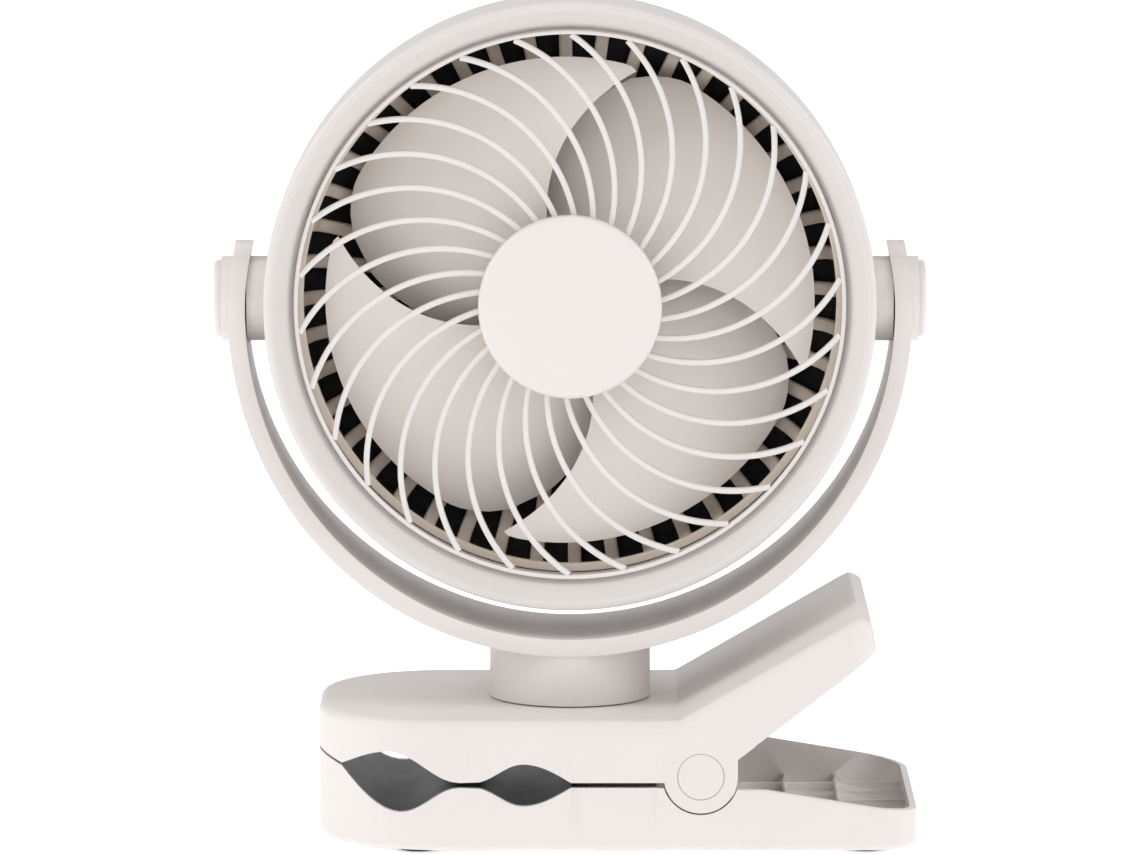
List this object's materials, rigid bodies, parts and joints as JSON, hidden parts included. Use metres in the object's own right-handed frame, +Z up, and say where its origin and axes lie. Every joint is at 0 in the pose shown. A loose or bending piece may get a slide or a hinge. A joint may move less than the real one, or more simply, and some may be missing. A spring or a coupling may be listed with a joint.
{
  "type": "clip-on desk fan",
  "caption": "Clip-on desk fan: a spring clip foot with a squeeze handle, a swivelling yoke, and a tilting round head with swirled front ribs.",
  "frame": {"origin": "on the table under the neck's swivel axis, centred on the whole object seen from above", "axes": "+Z up along the neck axis, the fan blows towards -Y, +X towards the squeeze handle"},
  "size_m": [0.2084, 0.092, 0.2458],
  "materials": {
    "body_plastic": "fine satin ABS, warm off-white",
    "cover_plastic": "satin ABS, warm off-white",
    "head_plastic": "satin ABS, warm off-white",
    "grille_plastic": "satin ABS, warm off-white",
    "guard_plastic": "satin, warm beige",
    "blade_plastic": "satin, warm grey-beige",
    "pad_rubber": "matte black rubber",
    "screen_mesh": "fine black mesh",
    "screw_steel": "zinc plated",
    "spring_steel": "bright spring steel",
    "motor_steel": "nickel plated can",
    "motor_plastic": "black nylon",
    "magnet": "ferrite",
    "bronze": "sintered bronze",
    "copper": "enamelled copper winding on a laminated core",
    "battery_wrap": "heat-shrink wrap",
    "board_green": "solder mask",
    "lens_clear": "clear light guide",
    "wire_red": "wire insulation"
  },
  "bodies": {
    "lower_jaw": {"lower_jaw_shell": "body_plastic", "base_plate": "cover_plastic", "base_screws": "screw_steel", "feet": "pad_rubber", "lower_jaw_pad": "pad_rubber", "clip_pin": "spring_steel", "torsion_spring": "spring_steel"},
    "upper_jaw": {"upper_jaw_shell": "body_plastic", "upper_jaw_cover": "cover_plastic", "cover_screws": "screw_steel", "upper_jaw_pad": "pad_rubber", "handle_cover": "cover_plastic", "handle_screws": "screw_steel", "pin_caps": "body_plastic", "battery_pack": "battery_wrap", "control_board": "board_green", "board_screws": "screw_steel", "usb_socket": "motor_steel", "indicator_lens": "lens_clear"},
    "button": {"power_button": "body_plastic"},
    "yoke": {"yoke": "body_plastic", "swivel_washer": "screw_steel", "swivel_retainer": "screw_steel", "swivel_screws": "screw_steel", "pivot_caps": "body_plastic"},
    "head": {"front_ring": "head_plastic", "front_grille": "grille_plastic", "hub_cap": "grille_plastic", "rear_housing": "head_plastic", "rear_guard": "guard_plastic", "cap_screws": "screw_steel", "dust_screen": "screen_mesh", "rear_cap": "head_plastic", "head_screws": "screw_steel", "pivot_washers": "screw_steel", "pivot_screws": "screw_steel", "motor_can": "motor_steel", "motor_magnets": "magnet", "motor_end_cap": "motor_plastic", "motor_bushes": "bronze", "motor_screws": "screw_steel", "motor_leads": "wire_red"},
    "impeller": {"impeller": "blade_plastic", "motor_shaft": "spring_steel", "motor_armature": "copper", "commutator": "bronze"}
  },
  "joints": [
    {"name": "clip_hinge", "type": "hinge", "parent": "lower_jaw", "child": "upper_jaw", "pos_m": [0.0379, 0, 0.0226], "axis": [0, 1, 0], "range_deg": [0, 30], "stiffness_Nm_per_rad": 1.2, "springref_deg": -34.38, "deforming": ["torsion_spring"]},
    {"name": "button_press", "type": "slide", "parent": "upper_jaw", "child": "button", "axis": [0, -1, 0], "range_m": [0, 0.0008], "stiffness_N_per_m": 500},
    {"name": "neck_swivel", "type": "hinge", "parent": "upper_jaw", "child": "yoke", "pos_m": [0, 0, 0.039], "axis": [0, 0, 1], "range_deg": [-180, 180]},
    {"name": "head_tilt", "type": "hinge", "parent": "yoke", "child": "head", "pos_m": [0, 0, 0.1568], "axis": [1, 0, 0], "range_deg": [-90, 90]},
    {"name": "fan_spin", "type": "hinge", "parent": "head", "child": "impeller", "pos_m": [0, 0, 0.1568], "axis": [0, 1, 0], "continuous": true}
  ]
}
